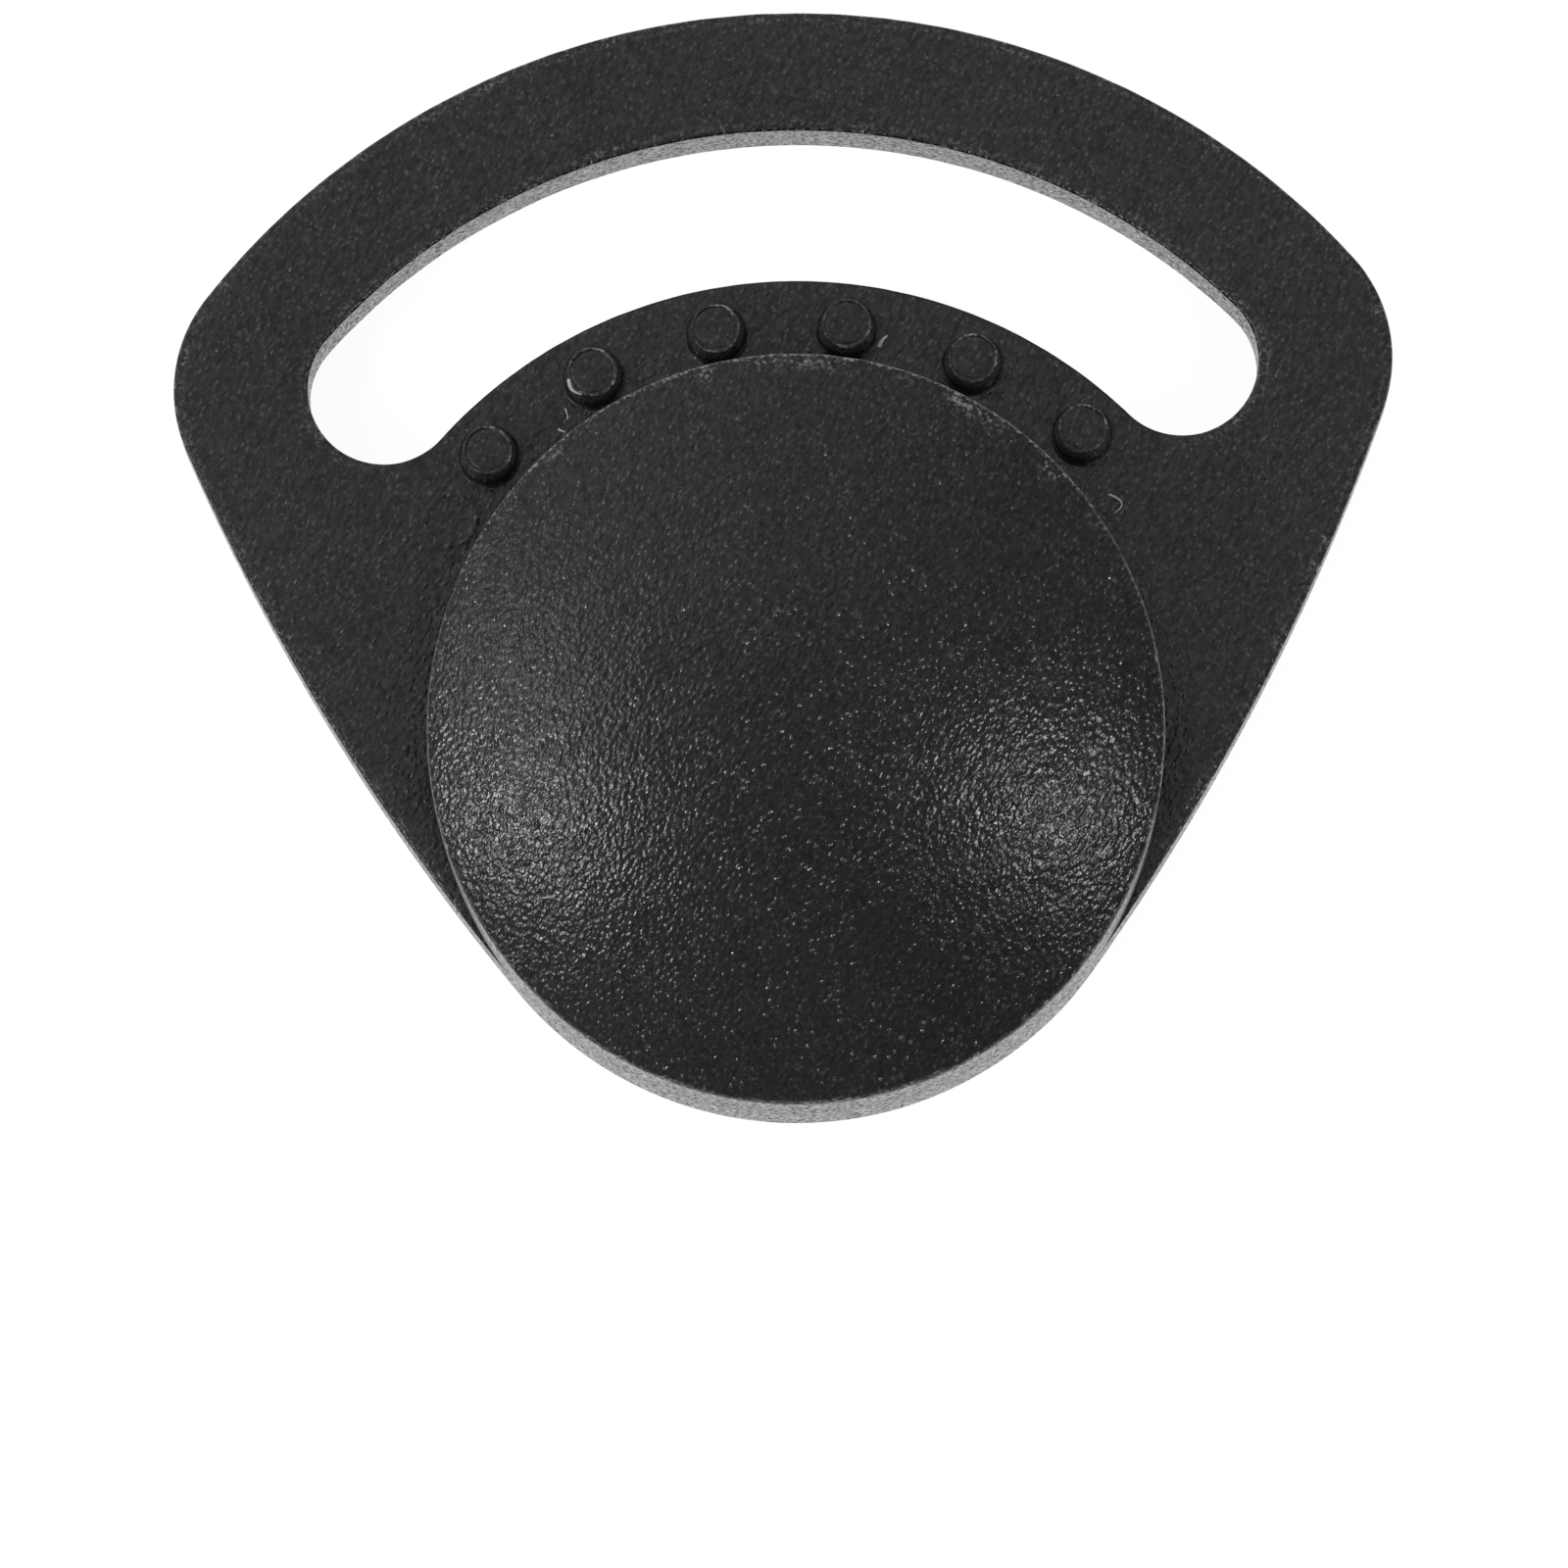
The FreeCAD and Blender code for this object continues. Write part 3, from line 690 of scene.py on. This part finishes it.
def make_collar(material):
    """Wall that carries the cap, closed above by the cap's underside."""
    shell = Shell()
    loop = collar_outline()
    facet = (np.linalg.norm(loop, axis=1) < BUTTON_RADIUS - 0.3).astype(float)
    rings = shell.column(loop, TOP, cap_under(loop), 9, facet)
    shell.walls(rings)
    inner = grid(BUTTON_RADIUS, -BUTTON_RADIUS, 0.0, FIELD_STEP)
    shell.level_field([rings[0]], False, TOP, inner)
    shell.field([rings[-1]], True, cap_under, inner)
    thread(shell, *CURL, CURL_RADIUS)
    return add_piece(shell, "buckle_collar", material, "collar_wall")


# Cap


def ridges(points):
    """Tool passes in the cap's underside: shallow parallel scallops."""
    across = turned(points, -RIDGE_DIRECTION)[:, 1]
    across = across + 0.05 * rough(points, pitch=4.0, seed=11.0)
    phase = across / RIDGE_PITCH
    phase = 2 * (phase - np.floor(phase)) - 1
    strength = 0.55 + 0.45 * rough(points, pitch=6.0, seed=12.0)
    return RIDGE_HEIGHT * strength * phase ** 2


def ridge_points():
    """Points in rows across the tool passes, close together so that each pass is round."""
    across = np.arange(-BUTTON_RADIUS, BUTTON_RADIUS, RIDGE_PITCH / 8)
    along = np.arange(-BUTTON_RADIUS, BUTTON_RADIUS, 0.9)
    u, v = np.meshgrid(along, across)
    return turned(np.column_stack([u.ravel(), v.ravel()]), RIDGE_DIRECTION)


def cap_under_edge(shell, unit, rim):
    """Rings from the cap's underside to its wall, rounded where the rim is free."""
    free = blend(rim[:, 1], -CREASE_DROP - 0.4, -CREASE_DROP + 0.4)
    radius = CAP_UNDER_ROUND * free + HAIRLINE
    rings = []
    for angle in quarter_turn(CAP_UNDER_STEPS):
        plan = unit * (BUTTON_RADIUS - radius * (1 - math.sin(angle)))[:, None]
        height = cap_under(rim) + radius * (1 - math.cos(angle))
        rings.append(shell.ring(plan, height, 0.3 * free * math.sin(2 * angle) ** 2))
    return rings


def cap_top_edge(shell, unit, rim):
    """Rings from the cap's wall to its top: ragged, scuffed most towards the slot, and a little
    melted over the tip."""
    at_tip = blend(-rim[:, 1], BUTTON_RADIUS * 0.9, BUTTON_RADIUS * 0.98)
    slot_side = blend(rim[:, 1], BUTTON_RADIUS * 0.3, BUTTON_RADIUS * 0.8)
    melted = TIP_MELT * at_tip * (0.5 + 0.5 * rough(rim, pitch=2.4, seed=29.0))
    radius = CAP_ROUND * (1 + 0.3 * rough(rim, pitch=1.2, seed=21.0)) + melted
    scuff_and_highlight = 0.25 + 0.75 * np.maximum(rough(rim, pitch=0.6, seed=23.0), 0) + 0.7 * slot_side
    patchy = np.maximum(rough(rim, pitch=5.0, seed=27.0) + 0.35, 0)
    burr = CAP_BURR * patchy * np.maximum(rough(rim, pitch=0.45, seed=25.0) - 0.1, 0)
    rings = []
    for angle in quarter_turn(CAP_EDGE_STEPS):
        plan = unit * (BUTTON_RADIUS - radius * (1 - math.cos(angle)))[:, None]
        height = cap_top(plan) - radius * (1 - math.sin(angle)) + burr * math.sin(2 * angle)
        rings.append(shell.ring(plan, height, scuff_and_highlight * math.sin(2 * angle) ** 0.5))
    scraped = slot_side * np.clip(0.2 + 1.6 * rough(rim, pitch=1.6, seed=33.0), 0, 1)
    for inset, share in ((0.35, 1.0), (0.55, 0.6), (1.0, 0.0), (1.8, 0.0)):
        plan = unit * (BUTTON_RADIUS - inset)
        rings.append(shell.ring(plan, cap_top(plan), share * scraped))
    return rings


def make_cap(material):
    """Domed cap of even thickness, with tool passes underneath."""
    shell = Shell()
    unit = unit_circle(RIM_COUNT)
    rim = unit * BUTTON_RADIUS
    under_edge = cap_under_edge(shell, unit, rim)
    wall = shell.column(rim, cap_under(rim) + 0.2, cap_top(rim) - 0.55, 3)
    top_edge = cap_top_edge(shell, unit, rim)
    shell.walls(under_edge + wall + top_edge)
    inner = grid(BUTTON_RADIUS, -BUTTON_RADIUS, BUTTON_RADIUS, CAP_STEP)
    shell.field([top_edge[-1]], True, cap_top, inner)
    shell.field([under_edge[0]], False, lambda plan: cap_under(plan) + ridges(plan),
                ridge_points(), tooled=0.6)
    return add_piece(shell, "buckle_cap", material, "hook_cap")


# Pegs


def make_peg(name, material, seed):
    """Squat tapered peg: flared foot, rounded shoulder, thin raised ring with a painted highlight
    in its colour, and dished top.
    """
    low, high = box_mm(name)
    foot = peg_foot(name)
    base = (high.x - low.x) / 2
    height = high.z - low.z
    top = base - PEG_TAPER
    shell = Shell()
    unit = unit_circle(PEG_SIDES)
    uneven = 1 + 0.012 * rough(unit, pitch=0.8, seed=seed)
    # Radius, height above the plate, and painted highlight of each ring, from the foot to the
    # dish: a light broken line in the colour of the raised ring.
    rows = [
        (base + 0.26, -0.02, 0.0),
        (base + 0.16, 0.02, 0.0),
        (base + 0.07, 0.10, 0.0),
        (base + 0.01, 0.24, 0.0),
        ((base + top) / 2, height * 0.55, 0.0),
        (top + 0.03, height - 0.15, 0.0),
        (top + 0.015, height - 0.06, 0.4),
        (top - 0.01, height - 0.012, 1.0),
        (top - 0.045, height, 1.0),
        (top - 0.08, height - 0.02, 0.6),
        (top - 0.12, height - 0.055, 0.0),
        (top - 0.19, height - 0.07, 0.0),
        (top - 0.23, height - 0.05, 0.1),
        (top - 0.29, height - 0.045, 0.0),
        (top * 0.3, height - 0.055, 0.0),
    ]
    # The painted highlight on the ring is broken into strong and faint parts.
    broken = 0.3 + 2.4 * np.maximum(rough(unit, pitch=0.7, seed=seed + 6.0), 0)
    rings = []
    for radius, rise, wear_and_highlight in rows:
        plan = foot[:2] + unit * (radius * uneven)[:, None]
        lift = 0.02 * rough(unit * radius, pitch=0.7, seed=seed + 3.0) * (rise > height - 0.1)
        level = np.minimum(low.z + rise + lift, high.z)
        rings.append(shell.ring(plan, level, wear_and_highlight * broken))
    shell.walls(rings)
    middle = shell.ring(foot[None, :2], high.z - 0.06)[0]
    shell.faces += [(a, b, middle) for a, b in zip(rings[-1], np.roll(rings[-1], -1))]
    shell.faces.append(list(rings[0][::-1]))
    return add_piece(shell, "buckle_" + name, material, name, sharp=60.0)


# Materials

GRAIN_LEAN = math.radians(60)
GRAIN_STRETCH = 1.5
GRAIN_REACH = 0.42
STREAK_HEIGHT = 0.02
STREAK_STRETCH = 0.06
DUST_GREY = 0.16
FLECK_GREY = 0.07
# The scuff colour is both worn edges and a painted highlight on the pegs' raised rings.
SCUFF_AND_HIGHLIGHT_GREY = 0.24
FLASH_GREY = 0.55
# The blotch colour is painted reflection, seen only at low angles.
PAINTED_REFLECTION_GREY = 0.17


class Nodes:
    """Short way to write a node tree: add() makes a node and links or sets its inputs."""

    def __init__(self, tree):
        self.tree = tree
        tree.nodes.clear()

    def add(self, kind, *inputs, **settings):
        named = settings.pop("named", {})
        node = self.tree.nodes.new(kind)
        for key, value in settings.items():
            setattr(node, key, value)
        for key, value in list(enumerate(inputs)) + list(named.items()):
            if isinstance(value, bpy.types.NodeSocket):
                self.tree.links.new(value, node.inputs[key])
            else:
                node.inputs[key].default_value = value
        return node

    def math(self, operation, *inputs):
        return self.add("ShaderNodeMath", *inputs, operation=operation).outputs[0]

    def remap(self, value, low, high, to_low, to_high):
        node = self.add("ShaderNodeMapRange", value, low, high, to_low, to_high)
        return node.outputs[0]

    def mix(self, share, first, second):
        node = self.add("ShaderNodeMix", data_type="FLOAT", named={0: share, 2: first, 3: second})
        return node.outputs[0]

    def mix_colour(self, share, first, second):
        node = self.add("ShaderNodeMix", data_type="RGBA", named={0: share, 6: first, 7: second})
        return node.outputs[2]

    def attribute(self, name):
        return self.add("ShaderNodeAttribute", attribute_name=name).outputs["Fac"]

    def noise(self, place, scale, detail=2.0, lumpy=0.5):
        node = self.add("ShaderNodeTexNoise", named={
            "Vector": place, "Scale": scale, "Detail": detail, "Roughness": lumpy})
        return node.outputs[0]

    def cells(self, place, scale):
        """Distance to the nearest of scattered points, and two random numbers of that point."""
        node = self.add("ShaderNodeTexVoronoi", named={"Vector": place, "Scale": scale})
        first, second, _ = self.add("ShaderNodeSeparateColor", node.outputs["Color"]).outputs
        return node.outputs["Distance"], first, second


def grey(value):
    return (value, value, value * 1.02, 1.0)


def grain_relief(nodes, mm, slanted, grain, glints):
    """Spark-eroded grain: soft pits, and separate small grains on them that catch the light.
    Gives its height in millimetres, how far up a grain a point is, and the denser patches."""
    pits = nodes.noise(slanted, scale=4.8, detail=0.8, lumpy=0.45)
    away, chosen, _ = nodes.cells(slanted, scale=4.1)
    dome = nodes.remap(away, 0.0, GRAIN_REACH, 1.0, 0.0)
    dome = nodes.math("MULTIPLY", dome, nodes.remap(chosen, 0.35, 1.0, 0.0, 1.0))
    patches = nodes.remap(nodes.noise(mm, scale=0.16), 0.35, 0.65, 0.75, 1.35)
    pit_height = nodes.math("MULTIPLY", pits, grain)
    glint_height = nodes.math("MULTIPLY", nodes.math("MULTIPLY", dome, glints), patches)
    return nodes.math("ADD", pit_height, glint_height), dome, patches


def tool_streaks(nodes, mm):
    """Height of the streaks that run along Z on tooled walls."""
    mapping = nodes.add("ShaderNodeMapping", mm, named={"Scale": (1.0, 1.0, STREAK_STRETCH)})
    streaks = nodes.noise(mapping.outputs[0], scale=4.5, lumpy=0.6)
    return nodes.math("MULTIPLY", streaks, STREAK_HEIGHT)


def surface_tone(nodes, mm, slanted, base, patches, wear_and_highlight, scuff_and_highlight, painted_reflection):
    """Colour: uneven black, under rare dust, flecks, scuffs (worn edges, and a painted highlight
    on the pegs' raised rings), frayed flash and light blotches of painted reflection at low
    angles.
    """
    cloud = nodes.noise(mm, scale=0.13, detail=3.0, lumpy=0.55)
    cloud = nodes.remap(cloud, 0.35, 0.65, 0.0, 1.0)
    tone = nodes.mix_colour(cloud, grey(base * 0.8), grey(base * 1.2))
    away, _, picked = nodes.cells(mm, scale=0.9)
    dust = nodes.remap(away, 0.03, 0.075, 1.0, 0.0)
    dust = nodes.math("MULTIPLY", dust, nodes.math("GREATER_THAN", picked, 0.8))
    fleck = nodes.remap(nodes.noise(slanted, scale=6.0, detail=1.0), 0.61, 0.73, 0.0, 0.5)
    fleck = nodes.math("MULTIPLY", fleck, patches)
    flash = nodes.remap(wear_and_highlight, 2.0, THREAD_WEAR, 0.0, 1.0)
    for share, shade in (
        (dust, DUST_GREY),
        (fleck, FLECK_GREY),
        (scuff_and_highlight, SCUFF_AND_HIGHLIGHT_GREY),
        (flash, FLASH_GREY),
        (painted_reflection, PAINTED_REFLECTION_GREY),
    ):
        tone = nodes.mix_colour(share, tone, grey(shade))
    return tone


def surface_roughness(nodes, mm, roughness, scuff_and_highlight, grazing, blotch):
    """Roughness: drifts slowly, and is higher where the surface is scuffed."""
    drift = nodes.noise(mm, scale=0.5, detail=4.0, lumpy=0.6)
    level = nodes.remap(drift, 0.3, 0.7, roughness - 0.04, roughness + 0.05)
    level = nodes.math("ADD", level, nodes.math("MULTIPLY", scuff_and_highlight, 0.12))
    return nodes.mix(grazing, level, nodes.remap(blotch, 0.0, 1.0, 0.50, 0.12))


def surface_sheen(nodes, slanted, dome, grazing, blotch, wall_sheen):
    """Specular level: uneven, and highest on the grains that catch the light."""
    sheen = nodes.remap(nodes.noise(slanted, scale=4.2, lumpy=0.6), 0.3, 0.7, 0.27, 0.60)
    sheen = nodes.mix(nodes.remap(dome, 0.05, 0.3, 0.0, 1.0), sheen, 0.9)
    return nodes.mix(grazing, sheen, nodes.remap(blotch, 0.0, 1.0, 0.05, wall_sheen))


def moulded_plastic(name, grain, glints, base=0.010, roughness=0.19, wall_sheen=0.95):
    """Spark-eroded black plastic. grain and glints are bump heights in millimetres, and
    wall_sheen is how strongly the palest blotches reflect at a low angle."""
    material = bpy.data.materials.new(name)
    material.use_nodes = True
    nodes = Nodes(material.node_tree)
    place = nodes.add("ShaderNodeTexCoord").outputs["Object"]
    scaled = nodes.add("ShaderNodeVectorMath", place, operation="SCALE", named={"Scale": 1 / MM})
    mm = scaled.outputs[0]
    mapping = nodes.add("ShaderNodeMapping", mm, vector_type="TEXTURE",
                        named={"Rotation": (0, 0, GRAIN_LEAN), "Scale": (GRAIN_STRETCH, 1, 1)})
    slanted = mapping.outputs[0]
    wear_and_highlight = nodes.attribute("wear_and_highlight")
    broken = nodes.remap(nodes.noise(mm, scale=4.5, lumpy=0.6), 0.50, 0.60, 0.0, 1.0)
    # Scuffs: worn edges, and a painted highlight on the pegs' raised rings.
    scuff_and_highlight = nodes.math("MULTIPLY", wear_and_highlight, broken)

    # At low angles the bump is too fine to show, so blotches stand for it: they change roughness
    # and specular level there, and their light colour is painted reflection.
    facing = nodes.add("ShaderNodeLayerWeight", 0.5).outputs["Facing"]
    grazing = nodes.remap(facing, 0.66, 0.86, 0.0, 1.0)
    blotch = nodes.remap(nodes.noise(mm, scale=4.6, lumpy=0.6), 0.38, 0.62, 0.0, 1.0)
    # Painted reflection: light patches in the colour, only where the surface is seen at a low
    # angle.
    painted_reflection = nodes.math("MULTIPLY", grazing, nodes.math("MULTIPLY", blotch, 0.6))

    relief, dome, patches = grain_relief(nodes, mm, slanted, grain, glints)
    height = nodes.mix(nodes.attribute("tooled"), relief, tool_streaks(nodes, mm))
    bump = nodes.add("ShaderNodeBump", named={"Strength": 1.0, "Distance": MM, "Height": height})
    shader = nodes.add("ShaderNodeBsdfPrincipled", named={
        "Base Color": surface_tone(nodes, mm, slanted, base, patches, wear_and_highlight, scuff_and_highlight, painted_reflection),
        "Roughness": surface_roughness(nodes, mm, roughness, scuff_and_highlight, grazing, blotch),
        "Specular IOR Level": surface_sheen(nodes, slanted, dome, grazing, blotch, wall_sheen),
        "Normal": bump.outputs[0]})
    nodes.add("ShaderNodeOutputMaterial", shader.outputs[0])
    return material


# Stage. FLOOR_HALF and the softboxes' sizes are in metres, and other lengths in millimetres.

FLOOR_HALF = 4.0
FLOOR_DROP = 0.02
SEE_THROUGH_LENGTH = 0.5
FLOOR_GLOW = 0.93

HORIZON_FRONT = 0.45
HORIZON_BACK = 0.2
OVERHEAD_NEAR = 0.38
OVERHEAD_FAR = 0.72
OVERHEAD_LEFT = 1.27
OVERHEAD_RIGHT = 0.66

# Each softbox: name, direction from the object, radiance, and length along Y.
SOFTBOXES = [
    ("softbox_left", (-0.54, -0.37, 0.755), 34.0, 0.07),
    ("softbox_left_strip", (-0.53, -0.10, 0.84), 3.9, 0.24),
    ("softbox_right", (0.51, -0.385, 0.77), 27.5, 0.07),
]
SOFTBOX_REACH = 0.6
SOFTBOX_WIDTH = 0.07

CAMERA_PLACE = (0.19, -91.83, 681.05)
CAMERA_TURN = (7.594, 0.348, -2.055)
CAMERA_LENS = 319.7
CAMERA_SENSOR = 36.0


def floor_material():
    """Pale light table: opaque from above, clear from below and at the contact."""
    material = bpy.data.materials.new("stage_floor")
    material.use_nodes = True
    nodes = Nodes(material.node_tree)
    place = nodes.add("ShaderNodeTexCoord").outputs["Object"]
    tone = nodes.mix_colour(nodes.noise(place, scale=9.0), grey(0.18), grey(0.20))
    matt = nodes.add("ShaderNodeBsdfDiffuse", tone)
    glow = nodes.add("ShaderNodeEmission", grey(1.0), FLOOR_GLOW)
    solid = nodes.add("ShaderNodeAddShader", matt.outputs[0], glow.outputs[0])
    behind = nodes.add("ShaderNodeNewGeometry").outputs["Backfacing"]
    length = nodes.add("ShaderNodeLightPath").outputs["Ray Length"]
    close = nodes.math("LESS_THAN", length, SEE_THROUGH_LENGTH * MM)
    clear = nodes.math("MAXIMUM", behind, close)
    glass = nodes.add("ShaderNodeBsdfTransparent")
    surface = nodes.add("ShaderNodeMixShader", clear, solid.outputs[0], glass.outputs[0])
    nodes.add("ShaderNodeOutputMaterial", surface.outputs[0])
    return material


def make_floor():
    """Square floor a hair below the underside."""
    corners = [(-1, -1), (1, -1), (1, 1), (-1, 1)]
    points = [(x * FLOOR_HALF, y * FLOOR_HALF, -FLOOR_DROP * MM) for x, y in corners]
    mesh = bpy.data.meshes.new("floor")
    mesh.from_pydata(points, [], [(0, 1, 2, 3)])
    mesh.materials.append(floor_material())
    floor = bpy.data.objects.new("floor", mesh)
    bpy.context.scene.collection.objects.link(floor)


def make_world():
    """White behind the object. What lights it is brighter on the tip's side of the horizon, and
    overhead brighter towards the slot and the left."""
    world = bpy.data.worlds.new("studio")
    world.use_nodes = True
    nodes = Nodes(world.node_tree)
    direction = nodes.add("ShaderNodeTexCoord").outputs["Generated"]
    x, y, z = nodes.add("ShaderNodeSeparateXYZ", direction).outputs
    overhead = nodes.remap(y, -0.35, 0.15, OVERHEAD_NEAR, OVERHEAD_FAR)
    sideways = nodes.remap(x, -0.5, 0.5, OVERHEAD_LEFT, OVERHEAD_RIGHT)
    overhead = nodes.math("MULTIPLY", overhead, sideways)
    horizon = nodes.remap(y, 0.1, 0.5, HORIZON_FRONT, HORIZON_BACK)
    steep = nodes.remap(nodes.math("ABSOLUTE", z), 0.05, 0.5, 0.0, 1.0)
    level = nodes.mix(steep, horizon, overhead)
    seen = nodes.add("ShaderNodeLightPath").outputs["Is Camera Ray"]
    sky = nodes.add("ShaderNodeBackground", grey(1.0), nodes.mix(seen, level, 1.0))
    nodes.add("ShaderNodeOutputWorld", sky.outputs[0])
    bpy.context.scene.world = world


def make_lights():
    """Softboxes that face the top of the plate, each turned so that its length runs along Y as
    nearly as it can."""
    target = Vector((0, 0, TOP * MM))
    for name, direction, radiance, length in SOFTBOXES:
        lamp = bpy.data.lights.new(name, "AREA")
        lamp.shape = "RECTANGLE"
        lamp.size = SOFTBOX_WIDTH
        lamp.size_y = length
        lamp.energy = radiance * math.pi * SOFTBOX_WIDTH * length
        light = bpy.data.objects.new(name, lamp)
        away = Vector(direction).normalized()
        across = Vector((0, 1, 0)).cross(away).normalized()
        along = away.cross(across)
        light.location = target + away * SOFTBOX_REACH
        light.rotation_euler = Matrix((across, along, away)).transposed().to_euler()
        light.visible_camera = False
        bpy.context.scene.collection.objects.link(light)


def make_camera():
    """Long lens, nearly straight above, leaning towards the tip's side."""
    data = bpy.data.cameras.new("camera")
    data.lens = CAMERA_LENS
    data.sensor_width = CAMERA_SENSOR
    data.clip_start = 0.01
    camera = bpy.data.objects.new("camera", data)
    camera.location = Vector(CAMERA_PLACE) * MM
    camera.rotation_euler = Euler([math.radians(angle) for angle in CAMERA_TURN])
    bpy.context.scene.collection.objects.link(camera)
    bpy.context.scene.camera = camera


plate_plastic = moulded_plastic("plate_plastic", grain=0.050, glints=0.024)
collar_plastic = moulded_plastic("collar_plastic", grain=0.042, glints=0.020, wall_sheen=0.35)
# The cap's darker base colour is painted shade: the cap is the same plastic as the plate, given a
# darker base.
cap_plastic = moulded_plastic("cap_plastic", grain=0.053, glints=0.040, base=0.006)
peg_plastic = moulded_plastic("peg_plastic", grain=0.015, glints=0.004, roughness=0.30)

make_plate_upper(plate_plastic)
make_plate_lower(plate_plastic)
make_collar(collar_plastic)
make_cap(cap_plastic)
pegs = sorted(name for name in frame["nodes"] if name.startswith("peg_"))
for number, peg in enumerate(pegs):
    make_peg(peg, peg_plastic, seed=30.0 + number)

make_floor()
make_world()
make_lights()
make_camera()
bpy.context.scene.view_settings.view_transform = "Standard"
